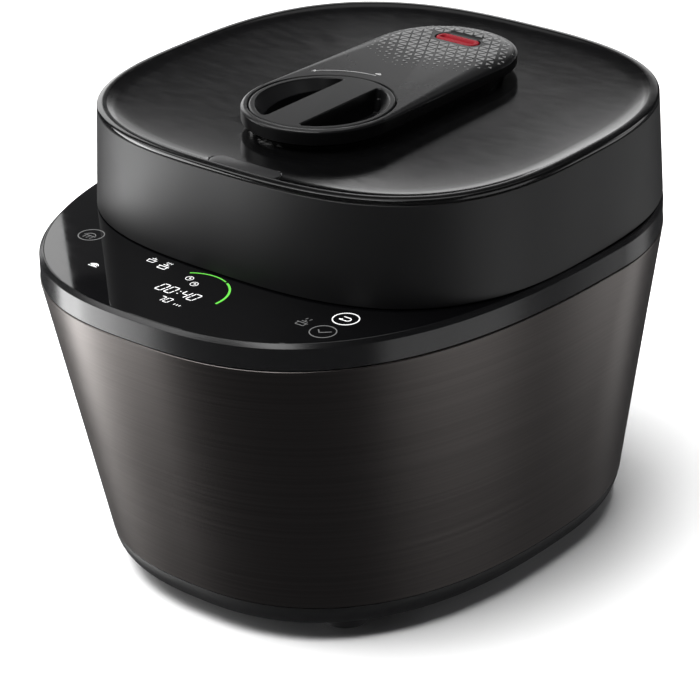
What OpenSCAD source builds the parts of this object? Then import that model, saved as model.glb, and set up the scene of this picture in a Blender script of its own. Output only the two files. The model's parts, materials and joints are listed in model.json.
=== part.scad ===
// Electric pressure cooker with a hinged, knob-locked lid.
// Millimetres, +Z up, front towards -Y, origin on the ground under the middle of the body.

/* [Body] */
// Width of the body at its top edge
body_w = 313; // [305:1:325]
// Depth of the body at its top edge
body_d = 379; // [376:0.5:382]
// Width of the body at the bottom of the steel wrap
foot_w = 267; // [260:1:275]
// Depth of the body at the bottom of the steel wrap
foot_d = 324; // [318:1:328]
// Height of the top edge of the steel wrap
wrap_top = 189; // [188:0.5:190]
// Height of the bottom edge of the steel wrap
wrap_bottom = 25; // [23:1:27]
// Height of the deck around the pot
deck_top = 204.6; // [204.2:0.1:204.8]

/* [Lid] */
// Width of the lid at its top edge
lid_w = 300; // [298:1:302]
// Depth of the lid at its top edge
lid_d = 289; // [288:1:290]
// Height of the outer top edge of the lid
lid_top = 266.4; // [266:0.2:268]
// How much the lid wall leans out towards its bottom
lid_draft = 3; // [2.6:0.1:3.2]
// Width of the rim around the top panel
rim_w = 5.2; // [4.8:0.1:5.6]

/* [Pod and knob] */
// Half width of the pod on the lid
pod_r = 46.2; // [45:0.2:46.6]
// Radius of the knob
knob_r = 42.2; // [42:0.1:42.3]
// Height of the top face of the pod
pod_top = 277.4; // [277:0.2:279]
// Length between the centres of the two round ends of the pod
pod_length = 107.5; // [106:0.5:110]
// Width of the knob's grip bar
grip_w = 24; // [20:1:26]

/* [Pot and lock] */
// Outer radius of the inner pot
pot_r = 111; // [109:0.5:112]
// Number of locking lugs
lug_count = 8; // [8]
// Width of one locking lug in degrees
lug_angle = 19; // [17:1:20]
// Module of the lock's gear teeth
gear_module = 3; // [3]

/* [Hidden] */

$fn = 96;
facets = 72;             // points round each body or lid outline
clearance = 0.35;        // gap between parts that move past each other
running_fit = 0.06;      // radial gap of a shaft in its bore

// Plan shapes: the widest section lies behind the middle of the body
body_front = -194.5;
body_mid = 44;
body_n_front = 2.67;
body_n_back = 2;
foot_front = -162;
foot_mid = 23;
foot_n_front = 2.45;
foot_n_back = 2.3;
lid_front = -122.5;
lid_mid = 16.5;
lid_n_front = 2.87;
lid_n_back = 2.71;
wrap_t = 1;
wrap_gap = 96;
pan_bottom = 7;
shell_t = 2.6;

// The well, pot and lock share one axis
well_y = 24;
flange_in = pot_r + 2;
flange_out = pot_r + 10;
lug_out = flange_out + 8.5;
lug_z = 210.3;
flange_top = 214;
ring_in = lug_out + 1.5;
ring_out = ring_in + 6;
ring_bottom = deck_top + 1.2;
ring_top = 230;
plate_top = 72;
well_floor = 55;

// The knob and its drive
knob_y = -31.5;
knob_floor = 261;
pinion_r = well_y - knob_y;
ring_gear_r = 2 * pinion_r;
gear_z = 231;
gear_t = 4;
lock_turn = 45;

// The lid's layers
lid_bottom = deck_top + 0.6;
frame_z = 224;
panel_top = lid_top + 1;
panel_floor = 263;
shell_bottom = 268.6;

// The hinge
hinge_y = 184;
hump_r = 10.5;
hump_w = 124;
hinge_z = 212.5;
pin_r = 3;
arm_x = 37;

// Small parts
button_x = 10;
button_y = -110;
button_half = 24;
button_depth = 12.4;
indicator_y = 94.5;
indicator_l = 30;
indicator_w = 10;
valve_y = 52;
display_x = 4;
display_y = -152;
key_x = 94.3;
key_y = [-128.5, -148.2];
foot_x = 70;
foot_y = [-106, 100];
inlet_w = 52;
inlet_back = 172;
inlet_h = 36;
inlet_z = 50;
cup_w = 66;
cup_z = 87;
cup_h = 46;

black = [0.08, 0.08, 0.085];
steel = [0.62, 0.62, 0.64];
gunmetal = [0.2, 0.19, 0.185];

// A signed power, which turns a circle into a rounded square
function spow(v, p) = sign(v) * pow(abs(v), p);

// A rounded-square outline of width w and depth d from its front at y = front.
// mid is where it is widest, n says how square each half is, and grow moves it outwards.
function outline(w, d, front, mid, n_front, n_back, grow) =
    [for (i = [0 : facets - 1])
        let (t = 360 * i / facets,
             ahead = sin(t) < 0,
             n = ahead ? n_front : n_back,
             reach = (ahead ? mid - front : front + d - mid) + grow)
        [(w / 2 + grow) * spow(cos(t), 2 / n), mid + reach * spow(sin(t), 2 / n)]];

function body_line(grow = 0) =
    outline(body_w, body_d, body_front, body_mid, body_n_front, body_n_back, grow);
function foot_line(grow = 0) =
    outline(foot_w, foot_d, foot_front, foot_mid, foot_n_front, foot_n_back, grow);
function lid_line(grow = 0) =
    outline(lid_w, lid_d, lid_front, lid_mid, lid_n_front, lid_n_back, grow);

// The body outline at a height on the straight taper between its two ends
function taper_line(z, grow = 0) =
    let (k = (z - wrap_bottom) / (wrap_top - wrap_bottom), a = foot_line(grow), b = body_line(grow))
    [for (i = [0 : facets - 1]) a[i] + k * (b[i] - a[i])];

// A stadium with its straight sides along Y
function stadium(r, y0, y1, steps = 36) =
    concat([for (i = [0 : steps]) let (t = 180 * i / steps) [r * cos(t), y1 + r * sin(t)]],
           [for (i = [0 : steps]) let (t = 180 + 180 * i / steps) [r * cos(t), y0 + r * sin(t)]]);

// A stadium lying along X
function bar_line(length, width, steps = 24) =
    let (r = width / 2, s = length / 2 - r)
    concat([for (i = [0 : steps]) let (t = -90 + 180 * i / steps) [s + r * cos(t), r * sin(t)]],
           [for (i = [0 : steps]) let (t = 90 + 180 * i / steps) [-s + r * cos(t), r * sin(t)]]);

// A solid through a stack of sections, each [outline, height]
module loft(sections) {
    n = len(sections[0][0]);
    last = len(sections) - 1;
    points = [for (s = sections) for (p = s[0]) [p[0], p[1], s[1]]];
    sides = [for (k = [0 : last - 1]) for (i = [0 : n - 1])
        let (j = (i + 1) % n, a = k * n + i, b = k * n + j, c = a + n, d = b + n)
        each [[a, c, d], [a, d, b]]];
    caps = [[for (i = [0 : n - 1]) i], [for (i = [n - 1 : -1 : 0]) last * n + i]];
    polyhedron(points, concat(sides, caps));
}

module prism(line, z0, z1) {
    translate([0, 0, z0]) linear_extrude(z1 - z0) polygon(line);
}

module at_well() {
    translate([0, well_y, 0]) children();
}

module tube(r_in, r_out, z0, z1) {
    difference() {
        translate([0, 0, z0]) cylinder(r = r_out, h = z1 - z0);
        translate([0, 0, z0 - 1]) cylinder(r = r_in, h = z1 - z0 + 2);
    }
}

// A bar along X from x0 to x1
module rod_x(r, x0, x1) {
    translate([x0, 0, 0]) rotate([0, 90, 0]) cylinder(r = r, h = x1 - x0);
}

// A sector of a disc between two angles, for cutting
module wedge(r, a0, a1, z0, z1) {
    steps = 8;
    arc = [for (i = [0 : steps]) let (t = a0 + (a1 - a0) * i / steps) [r * cos(t), r * sin(t)]];
    prism(concat([[0, 0]], arc), z0, z1);
}

// Lugs spaced round the lock; turn is the angle of the first
module lugs(r_in, r_out, z0, z1, turn) {
    intersection() {
        tube(r_in, r_out, z0, z1);
        for (i = [0 : lug_count - 1]) {
            a = turn + 360 * i / lug_count;
            wedge(r_out + 20, a - lug_angle / 2, a + lug_angle / 2, z0 - 1, z1 + 1);
        }
    }
}

module at_feet() {
    for (x = [-foot_x, foot_x], y = foot_y) translate([x, y, 0]) children();
}

module at_board_screws() {
    for (x = [-80, 80], y = [-150, -122]) translate([x, y, 0]) children();
}

module at_frame_posts() {
    for (x = [-70, 70], y = [-12, 84]) translate([x, y, 0]) children();
}

module at_keys() {
    translate([-key_x, key_y[0], 0]) children();
    for (y = key_y) translate([key_x, y, 0]) children();
}

// ---- Base ----

module feet() {
    color(black) at_feet() difference() {
        translate([0, 0, 1.2]) cylinder(r1 = 13.5, r2 = 15.5, h = pan_bottom - 1.2);
        translate([0, 0, 1]) cylinder(r = 11.05, h = 1);
        translate([0, 0, 1.9]) cylinder(r = 4.4, h = 3.1);
        cylinder(r = 2.2, h = 10);
    }
}

module foot_pads() {
    color([0.03, 0.03, 0.03]) at_feet() cylinder(r = 11, h = 1.95);
}

module base_screws() {
    color(steel) at_feet() {
        translate([0, 0, 2.5]) cylinder(r = 4, h = 2.5);
        translate([0, 0, 4]) cylinder(r = 2, h = 12);
    }
}

module base_pan() {
    floor_z = pan_bottom + 3;
    color(black) difference() {
        union() {
            difference() {
                loft([[foot_line(-20), pan_bottom], [foot_line(-11), pan_bottom + 1.2],
                      [foot_line(-5.5), pan_bottom + 5], [foot_line(-1.8), pan_bottom + 11],
                      [foot_line(-0.4), wrap_bottom]]);
                loft([[foot_line(-22), floor_z], [foot_line(-9), floor_z + 4],
                      [foot_line(-5), wrap_bottom + 1]]);
            }
            difference() {
                prism(foot_line(-2.2), wrap_bottom - 2, wrap_bottom + 6);
                prism(foot_line(-5), wrap_bottom - 3, wrap_bottom + 7);
            }
            at_feet() translate([0, 0, floor_z - 1]) cylinder(r = 6, h = 9);
        }
        at_feet() translate([0, 0, pan_bottom - 1]) cylinder(r = 2.05, h = 13);
    }
}

module steel_wrap() {
    color(gunmetal) difference() {
        loft([[foot_line(), wrap_bottom], [body_line(), wrap_top]]);
        loft([[foot_line(-wrap_t), wrap_bottom - 0.01], [body_line(-wrap_t), wrap_top + 0.01]]);
        // The ends of the bent sheet stop behind the rear housing
        translate([-wrap_gap / 2, 100, 0]) cube([wrap_gap, 120, 300]);
    }
}

module deck_frame() {
    lip = 6;
    plate = deck_top - 3;
    color(black) difference() {
        union() {
            difference() {
                loft([[body_line(), wrap_top], [body_line(), deck_top - 1.6],
                      [body_line(-1.2), deck_top]]);
                prism(body_line(-4), wrap_top - 1, plate);
            }
            difference() {
                prism(body_line(-2.4), wrap_top - lip, wrap_top + 1);
                prism(body_line(-4.4), wrap_top - lip - 1, wrap_top + 2);
            }
            at_board_screws() translate([0, 0, 192]) cylinder(r = 4, h = plate - 191);
        }
        at_well() translate([0, 0, plate - 1]) cylinder(r = flange_out + 1, h = 6);
        difference() {
            prism(body_line(-3), deck_top - 2, deck_top + 1);
            prism(lid_line(0.5), deck_top - 3, deck_top + 2);
            translate([-200, 20, 0]) cube([400, 300, 300]);
        }
        translate([display_x - 33, display_y - 21, plate - 1]) cube([66, 42, 3]);
        at_keys() translate([0, 0, plate - 1]) cylinder(r = 7.6, h = 3);
        at_board_screws() translate([0, 0, 191]) cylinder(r = 1.45, h = 8.5);
        translate([button_x - 11, -121.5, plate - 1]) cube([22, 10.5, 6]);
        hinge_slots();
    }
}

module touch_panel() {
    color([0.02, 0.02, 0.025]) difference() {
        prism(body_line(-3.1), deck_top - 2, deck_top);
        prism(lid_line(0.6), deck_top - 3, deck_top + 1);
        translate([-200, 19.9, 0]) cube([400, 300, 300]);
    }
}

module display_module() {
    color([0.15, 0.17, 0.15]) translate([display_x, display_y, 0]) {
        translate([-32, -20, deck_top - 8]) cube([64, 40, 5.9]);
        translate([-20, -8, 191.9]) cube([40, 16, deck_top - 199.9]);
    }
}

module control_board() {
    color([0.05, 0.3, 0.12]) difference() {
        union() {
            translate([-96, -154, 190.2]) cube([192, 38, 1.6]);
            translate([48, -150, 187]) cube([18, 14, 3.3]);
            translate([-60, -148, 186.5]) cube([12, 12, 3.8]);
        }
        at_board_screws() translate([0, 0, 189]) cylinder(r = 1.7, h = 4);
    }
}

module touch_springs() {
    color(steel) at_keys() tube(5.6, 6.6, 191.8, deck_top - 2.05);
}

module board_screws() {
    color(steel) at_board_screws() {
        translate([0, 0, 188]) cylinder(r = 3, h = 2.2);
        translate([0, 0, 190]) cylinder(r = 1.4, h = 8);
    }
}

module heating_well() {
    wall = 1.5;
    r = pot_r + 5;
    color([0.5, 0.5, 0.52]) at_well() difference() {
        union() {
            translate([0, 0, well_floor - 2]) cylinder(r = r + wall, h = deck_top - 6 - well_floor + 2);
            translate([0, 0, deck_top - 7.5]) cylinder(r = r + 10, h = 1.5);
            translate([0, 0, 45]) cylinder(r = 9, h = 10);
        }
        translate([0, 0, well_floor]) cylinder(r = r, h = 200);
        translate([0, 0, 40]) cylinder(r = 4 + running_fit, h = 20);
    }
}

module locking_flange() {
    base = deck_top - 6;
    color(steel) at_well() {
        tube(flange_in, flange_out, base, flange_top);
        tube(flange_out - 1, flange_out + 7, base, base + 3);
        lugs(flange_out - 1, lug_out, lug_z, flange_top, 0);
    }
}

module inner_pot() {
    wall = 2;
    corner = 18;
    bottom = plate_top + 0.3;
    steps = 8;
    function arc(r) = [for (i = [0 : steps]) let (t = -90 + 90 * i / steps)
        [pot_r - corner + r * cos(t), bottom + corner + r * sin(t)]];
    rim_top = flange_top + 2.4;
    outside = concat([[0, bottom]], arc(corner), [[pot_r, flange_top + 0.05],
        [flange_out - 1, flange_top + 0.05], [flange_out - 1, rim_top]]);
    inside = concat([[0, bottom + wall]], arc(corner - wall), [[pot_r - wall, rim_top]]);
    reversed = [for (i = [len(inside) - 1 : -1 : 0]) inside[i]];
    color([0.25, 0.25, 0.26]) at_well() rotate_extrude() polygon(concat(outside, reversed));
}

module heating_plate() {
    color([0.7, 0.7, 0.72]) at_well() difference() {
        rotate_extrude() polygon([[17, 60], [80, 60], [88, 64], [88, plate_top - 2],
            [80, plate_top], [17, plate_top]]);
        rotate_extrude() translate([60, 60]) circle(r = 4.6, $fn = 32);
    }
}

module heating_element() {
    color([0.35, 0.33, 0.32]) at_well() {
        difference() {
            rotate_extrude() translate([60, 60]) circle(r = 4.5, $fn = 32);
            wedge(80, 80, 100, 50, 70);
        }
    }
}

module plate_posts() {
    color(steel) at_well() for (a = [30, 150, 270])
        rotate([0, 0, a]) translate([75, 0, well_floor]) cylinder(r = 4, h = 5);
}

module thermostat_plunger() {
    color([0.75, 0.75, 0.77]) at_well() {
        difference() {
            translate([0, 0, 60]) cylinder(r = 15.5, h = plate_top - 60);
            translate([0, 0, 59]) cylinder(r = 13.5, h = 10);
        }
        translate([0, 0, 41]) cylinder(r = 4, h = 29);
    }
}

module thermostat_spring() {
    color(steel) at_well() tube(6, 8, well_floor, 69);
}

module power_board() {
    color([0.05, 0.25, 0.4]) {
        translate([-70, -124, 30]) cube([140, 62, 1.6]);
        for (x = [-60, 60], y = [-118, -68]) translate([x, y, pan_bottom + 3.1]) cylinder(r = 3, h = 20);
        translate([-52, -112, 31.5]) cube([34, 30, 16]);
        for (x = [2, 18]) translate([x, -100, 31.5]) cylinder(r = 6, h = 18);
        translate([32, -112, 31.5]) cube([20, 28, 14]);
    }
}

module power_inlet() {
    socket_w = 27.5;
    socket_h = 20;
    back = inlet_back;
    color(black) difference() {
        translate([-inlet_w / 2 + 0.2, 146, inlet_z - inlet_h / 2 + 0.2])
            cube([inlet_w - 0.4, back - 146, inlet_h - 0.4]);
        translate([-socket_w / 2, back - 17, inlet_z - socket_h / 2]) cube([socket_w, 20, socket_h]);
    }
    color(steel) for (x = [-7, 0, 7])
        translate([x - 1, back - 18, inlet_z - 2 + (x == 0 ? 3 : 0)]) cube([2, 14, 4]);
}

module wiring() {
    color([0.5, 0.1, 0.1]) for (x = [-20, 20]) {
        translate([x, 145.9, 38]) rotate([90, 0, 0]) cylinder(r = 2.2, h = 202);
        translate([x, -54.2, 38]) sphere(r = 2.2);
    }
}

module cup_holder() {
    low = cup_z - 2.9;
    high = cup_z + cup_h + 12.9;
    color(black) difference() {
        intersection() {
            translate([-cup_w / 2 - 2.9, 156, low]) cube([cup_w + 5.8, 60, high - low]);
            loft([[taper_line(low - 5, 1), low - 5], [taper_line(high + 5, 1), high + 5]]);
        }
        translate([-cup_w / 2 - 0.5, 158.5, cup_z - 0.5]) cube([cup_w + 1, 60, cup_h + 11]);
    }
}

module condensate_cup() {
    face_y = 187;
    color([0.15, 0.15, 0.16]) difference() {
        union() {
            translate([-cup_w / 2, 159, cup_z]) cube([cup_w, face_y - 159, cup_h]);
            translate([-cup_w / 2, face_y - 3, cup_z]) cube([cup_w, 3, cup_h + 8]);
        }
        translate([-cup_w / 2 + 1.6, 160.6, cup_z + 1.6])
            cube([cup_w - 3.2, face_y - 163.6, cup_h]);
        translate([-14, face_y - 1.6, cup_z + 16]) cube([28, 3, 14]);
    }
}

// ---- Hinge ----

module at_hinge() {
    translate([0, hinge_y, hinge_z]) children();
}

// The spine down the back: it carries the hinge, the cup and the inlet
module rear_housing() {
    back = hinge_y + hump_r;
    side = [[140, wrap_bottom + 2], [inlet_back, wrap_bottom + 2], [inlet_back, inlet_z + 20],
            [back - 4, deck_top - 20], [back, deck_top - 8], [back, hinge_z],
            [hinge_y - hump_r, hinge_z], [hinge_y - hump_r, deck_top + 0.1], [140, deck_top + 0.1]];
    color(black) difference() {
        union() {
            intersection() {
                translate([-hump_w / 2, 0, 0]) rotate([90, 0, 90]) linear_extrude(hump_w) polygon(side);
                translate([0, 0, wrap_bottom]) linear_extrude(220) polygon(concat(
                    [for (t = [0 : 15 : 90]) [hump_w / 2 - 8 + 8 * cos(t), back - 8 + 8 * sin(t)]],
                    [for (t = [90 : 15 : 180]) [-hump_w / 2 + 8 + 8 * cos(t), back - 8 + 8 * sin(t)]],
                    [[-hump_w / 2, 120], [hump_w / 2, 120]]));
            }
            at_hinge() rod_x(hump_r, -hump_w / 2 + 2, hump_w / 2 - 2);
        }
        loft([[taper_line(wrap_bottom - 5, 0.05), wrap_bottom - 5], [body_line(0.05), wrap_top],
              [body_line(0.05), deck_top + 0.2]]);
        hinge_slots();
        at_hinge() rod_x(pin_r, -55, 55);
        at_hinge() rod_x(6.2, -26, 26);
        translate([-cup_w / 2 - 3, 100, cup_z - 3]) cube([cup_w + 6, 100, cup_h + 16]);
        translate([-inlet_w / 2, 100, inlet_z - inlet_h / 2]) cube([inlet_w, 100, inlet_h]);
    }
}

// Where the steel ears and the lid's arms stand in the housing and the deck
module hinge_slots() {
    for (side = [-1, 1]) {
        translate([side * arm_x - 7.6, hinge_y - hump_r - 1, deck_top - 4.6])
            cube([15.2, 2 * hump_r - 2, 40]);
        translate([side * arm_x - 7.6, hinge_y, hinge_z - 4]) cube([15.2, 30, 40]);
        translate([side * arm_x, hinge_y, deck_top - 12]) cylinder(r = 2, h = 20);
    }
}

module hinge_bracket() {
    base_z = deck_top - 4.6;
    color(steel) difference() {
        for (side = [-1, 1]) translate([side * arm_x, hinge_y, 0]) {
            translate([-7.5, -7, base_z]) cube([15, 14, 1.6]);
            for (x = [-7.5, 4.5]) {
                translate([x, 0, hinge_z]) rod_x(7, 0, 3);
                translate([x, -7, base_z + 1]) cube([3, 14, hinge_z - base_z - 1]);
            }
        }
        at_hinge() rod_x(pin_r, -60, 60);
        for (x = [-arm_x, arm_x]) translate([x, hinge_y, base_z - 1]) cylinder(r = 2.1, h = 4);
    }
}

module hinge_screws() {
    color(steel) for (x = [-arm_x, arm_x]) translate([x, hinge_y, deck_top - 3]) {
        cylinder(r = 3.2, h = 1.4);
        translate([0, 0, -9]) cylinder(r = 2, h = 9.5);
    }
}

module hinge_pin() {
    color(steel) at_hinge() rod_x(pin_r, -54.5, 54.5);
}

module hinge_springs() {
    color(steel) at_hinge() for (x = [-22, 10]) difference() {
        rod_x(5.4, x, x + 12);
        rod_x(3.6, x - 1, x + 13);
    }
}

// ---- Lid ----

module arm_slots(grow) {
    for (side = [-1, 1])
        translate([side * arm_x - 4 - grow, 150, lid_bottom - 1]) cube([8 + 2 * grow, 40, 33]);
}

module lid_wall() {
    top = lid_top - 2.4;
    color(black) difference() {
        loft([[lid_line(lid_draft - 0.5), lid_bottom], [lid_line(lid_draft), lid_bottom + 0.6],
              [lid_line(0.12), top]]);
        loft([[lid_line(lid_draft - shell_t), lid_bottom - 0.1], [lid_line(-shell_t), top + 0.1]]);
        arm_slots(1.2);
    }
}

module lid_rim() {
    color([0.05, 0.05, 0.055]) difference() {
        loft([[lid_line(0.12), lid_top - 2.4], [lid_line(), lid_top],
              [lid_line(-1.1), lid_top + 0.7], [lid_line(-rim_w), panel_top]]);
        prism(lid_line(-rim_w), lid_top - 4, panel_top + 1);
    }
}

module lid_panel() {
    under = panel_floor - 2.5;
    color([0.02, 0.02, 0.025]) difference() {
        union() {
            prism(lid_line(-rim_w - 0.05), panel_floor - 0.2, panel_top);
            prism(lid_line(-rim_w - 2), under, panel_floor);
        }
        loft([[lid_line(-rim_w - 16), panel_floor], [lid_line(-rim_w - 6), panel_floor + 0.8],
              [lid_line(-rim_w - 1.8), panel_floor + 2.6], [lid_line(-rim_w - 0.4), panel_top + 0.1]]);
        translate([0, knob_y, under - 1]) cylinder(r = 40, h = 10);
        prism([for (p = bar_line(2 * button_half + 1, button_depth + 1))
            p + [button_x, button_y]], under - 1, panel_top + 2);
        translate([0, indicator_y, under - 1]) cylinder(r = 6, h = 10);
        translate([0, valve_y, under - 1]) cylinder(r = 12, h = 10);
        at_frame_posts() translate([0, 0, under - 1]) cylinder(r = 1.6, h = 2.6);
    }
}

module pod_plinth() {
    color(black) difference() {
        prism(stadium(41, knob_y, knob_y + pod_length - 5), panel_floor, shell_bottom);
        translate([0, knob_y, panel_floor - 1]) cylinder(r = 39.5, h = 20);
        prism(stadium(30, 50, 78), panel_floor - 1, shell_bottom + 1);
        // Steam outlet slots at the back
        for (x = [-12, 0, 12])
            translate([x - 3, 100, panel_floor + 1]) cube([6, 30, 3]);
    }
}

module pod_shell() {
    y1 = knob_y + pod_length;
    color([0.12, 0.12, 0.125]) difference() {
        loft([[stadium(pod_r - 1, knob_y, y1), shell_bottom],
              [stadium(pod_r - 0.2, knob_y, y1), shell_bottom + 0.8],
              [stadium(pod_r, knob_y, y1), pod_top - 1.8],
              [stadium(pod_r - 0.5, knob_y, y1), pod_top - 0.6],
              [stadium(pod_r - 1.6, knob_y, y1), pod_top]]);
        translate([0, knob_y, shell_bottom - 1]) cylinder(r = knob_r + clearance, h = 20);
        prism([for (p = bar_line(indicator_l + 0.8, indicator_w + 0.8)) p + [0, indicator_y]],
            shell_bottom - 1, pod_top + 1);
        // The shell is hollow over the valve and the float
        prism(stadium(36, 52, 74), shell_bottom - 1, pod_top - 2.5);
    }
}

module lid_frame() {
    bush_top = frame_z + 6;
    color([0.45, 0.45, 0.47]) difference() {
        union() {
            at_well() difference() {
                translate([0, 0, frame_z - 6.5]) cylinder(r = ring_in - 5.5, h = 8.5);
                translate([0, 0, frame_z - 7]) cylinder(r = ring_in - 7.5, h = 7);
            }
            translate([0, knob_y, frame_z]) cylinder(r = 10, h = 6);
            at_frame_posts() translate([0, 0, frame_z + 1]) cylinder(r = 5, h = panel_floor - 2.5 - frame_z - 1);
        }
        translate([0, knob_y, frame_z + 1]) cylinder(r = 6 + running_fit, h = bush_top);
        translate([0, indicator_y, frame_z - 1]) cylinder(r = 2.5 + running_fit, h = 4);
        translate([0, valve_y, frame_z - 1]) cylinder(r = 5, h = 4);
        translate([0, 0, frame_z - 1]) at_well() cylinder(r = 3, h = 4);
        at_frame_posts() translate([0, 0, panel_floor - 14]) cylinder(r = 1.5, h = 14);
    }
}

module lid_screws() {
    color(steel) at_frame_posts() translate([0, 0, panel_floor - 12]) cylinder(r = 1.5, h = 11);
}

module hinge_arms() {
    color([0.5, 0.5, 0.52]) for (side = [-1, 1]) difference() {
        union() {
            translate([side * arm_x - 4, 0, 0]) rotate([90, 0, 90]) linear_extrude(8)
                polygon([[98, frame_z + 2], [148, ring_top + 1.2], [164, ring_top + 1.2],
                         [hinge_y - 4.8, hinge_z + 1], [hinge_y + 4.8, hinge_z + 1],
                         [178, ring_top + 5], [172, ring_top + 6], [98, ring_top + 6]]);
            at_hinge() rod_x(5.6, side * arm_x - 4, side * arm_x + 4);
        }
        at_hinge() rod_x(pin_r + running_fit, side * arm_x - 5, side * arm_x + 5);
    }
}

module inner_lid() {
    color([0.66, 0.66, 0.68]) difference() {
        union() {
            at_well() {
                translate([0, 0, 218]) cylinder(r = 109, h = 1.5);
                tube(106, 107.5, 216.8, 223);
                tube(106, 121, 222, 223.2);
            }
        }
        at_well() translate([0, 0, 217]) cylinder(r = 3.2, h = 4);
        translate([0, indicator_y, 217]) cylinder(r = 3.4, h = 8);
        translate([0, valve_y, 217]) cylinder(r = 8, h = 8);
    }
}

module inner_lid_nut() {
    color([0.1, 0.1, 0.1]) at_well() {
        translate([0, 0, 213]) cylinder(r = 9, h = 4.9);
        translate([0, 0, 217]) cylinder(r = 2.95, h = frame_z + 2 - 217);
    }
}

module sealing_ring() {
    color([0.75, 0.75, 0.72]) at_well() tube(109.2, 120.5, flange_top + 2.8, 221.9);
}

module steam_valve() {
    color([0.3, 0.3, 0.32]) translate([0, valve_y, 0]) {
        difference() {
            translate([0, 0, 213]) cylinder(r = 4.9, h = 40);
            translate([0, 0, 212]) cylinder(r = 2, h = 36);
        }
        tube(4.8, 7.5, 213, 217.5);
        translate([0, 0, 246]) cylinder(r = 9, h = 20);
    }
}

// ---- Lock ----

// Teeth between two angles: plain flanks, thinner than the gaps so that they pass freely
module teeth(pitch_r, count, first, last, inward) {
    pitch = 360 / count;
    root = inward ? pitch_r + 1.1 * gear_module : pitch_r - 1.1 * gear_module;
    tip = inward ? pitch_r - 0.8 * gear_module : pitch_r + 0.8 * gear_module;
    for (k = [ceil(first / pitch - 0.5) : floor(last / pitch - 0.5)])
        let (a = (k + (inward ? 0.5 : 0)) * pitch)
        rotate([0, 0, a]) linear_extrude(gear_t) polygon([
            [root + (inward ? 1.2 : -1.2), -2.5], [tip, -1.1], [tip, 1.1],
            [root + (inward ? 1.2 : -1.2), 2.5]]);
}

module locking_ring() {
    teeth_count = 2 * ring_gear_r / gear_module;
    low = -90 - lock_turn / 2 - 12;
    high = -90 + 12;
    band_in = ring_gear_r + 1.1 * gear_module;
    guide_in = flange_out + 0.5;
    color(steel) at_well() {
        rotate_extrude() polygon([[ring_in, ring_bottom], [ring_out, ring_bottom],
            [ring_out, ring_top], [guide_in, ring_top], [guide_in, ring_top - 3],
            [ring_in, ring_top - 3]]);
        lugs(flange_out + 1.6, ring_in + 2.5, ring_bottom + 0.3, ring_bottom + 4, 180 / lug_count);
        intersection() {
            tube(band_in, flange_out + 5, ring_top - 2, gear_z + gear_t);
            wedge(180, low, high, ring_top - 4, gear_z + gear_t + 1);
        }
        translate([0, 0, gear_z - 0.4]) rotate([0, 0, -90])
            teeth(ring_gear_r, teeth_count, -lock_turn / 2 - 9, 9, true);
    }
}

module drive_pinion() {
    teeth_count = 2 * pinion_r / gear_module;
    root = pinion_r - 1.1 * gear_module;
    low = -90 - lock_turn - 16;
    high = -90 + 16;
    color([0.8, 0.78, 0.7]) translate([0, knob_y, 0]) difference() {
        union() {
            translate([0, 0, gear_z]) cylinder(r = 15, h = gear_t + 3);
            intersection() {
                translate([0, 0, gear_z]) cylinder(r = root, h = gear_t);
                wedge(120, low, high, gear_z - 1, gear_z + gear_t + 1);
            }
            translate([0, 0, gear_z]) rotate([0, 0, -90])
                teeth(pinion_r, teeth_count, -lock_turn - 12, 12, false);
        }
        translate([0, 0, gear_z - 1]) cylinder(r = 6, h = gear_t + 6);
    }
}

module knob_shaft() {
    color(steel) translate([0, knob_y, frame_z + 1.5]) cylinder(r = 6, h = 256 - frame_z - 1.5);
}

// The half-moon finger hollow on one side of the grip bar, with a sloping outer wall
module finger_hollow(side) {
    depth = pod_top - knob_floor - 2.4;
    slope = (38.2 - 30.5) / depth;
    intersection() {
        translate([0, 0, knob_floor + 2.4]) cylinder(r1 = 30.5, r2 = 38.2 + slope, h = depth + 1);
        translate([side > 0 ? grip_w / 2 : -grip_w / 2 - 60, -60, 0]) cube([60, 120, 400]);
    }
}

module knob() {
    color([0.1, 0.1, 0.105]) translate([0, knob_y, 0]) difference() {
        union() {
            translate([0, 0, knob_floor]) cylinder(r = 39, h = 12);
            translate([0, 0, shell_bottom + 0.6]) cylinder(r = knob_r, h = pod_top - shell_bottom - 0.6);
            translate([0, 0, 251]) cylinder(r = 11, h = 11);
        }
        finger_hollow(1);
        finger_hollow(-1);
        translate([0, 0, 250]) cylinder(r = 6, h = 6);
    }
}

// ---- Release button and latch ----

module release_button() {
    line = bar_line(2 * button_half, button_depth);
    color(black) translate([button_x, button_y, 0]) {
        prism(line, 259, panel_top - 0.6);
        translate([0, 0, 254]) cylinder(r = 3, h = 6);
    }
}

module button_spring() {
    color(steel) translate([button_x, button_y, 0]) tube(4, 5.4, 252, 259);
}

module button_guide() {
    color(black) difference() {
        union() {
            translate([button_x - 28, -118, 249]) cube([56, 13, 3]);
            for (x = [-28, 25]) translate([button_x + x, -114, 251.9]) cube([3, 9, 8.6]);
            for (x = [-9.6, 7.6]) translate([button_x + x, -118, 240]) cube([2, 5, 9.5]);
        }
        translate([button_x, button_y, 240]) cylinder(r = 3 + clearance, h = 20);
        translate([0, -116.4, 243.5]) rod_x(1.5, 0, 20);
    }
}

module latch_pin() {
    color(steel) translate([0, -116.4, 243.5]) rod_x(1.5, button_x - 9.6, button_x + 9.6);
}

module latch_hook() {
    color(steel) translate([button_x, -116.4, 0]) difference() {
        union() {
            translate([0, 0, 243.5]) rod_x(2.6, -7.3, 7.3);
            translate([-7, -1.2, 200]) cube([14, 2.4, 43]);
        }
        translate([0, 0, 243.5]) rod_x(1.5 + running_fit, -8, 8);
    }
}

// ---- Pressure indicator ----

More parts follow.
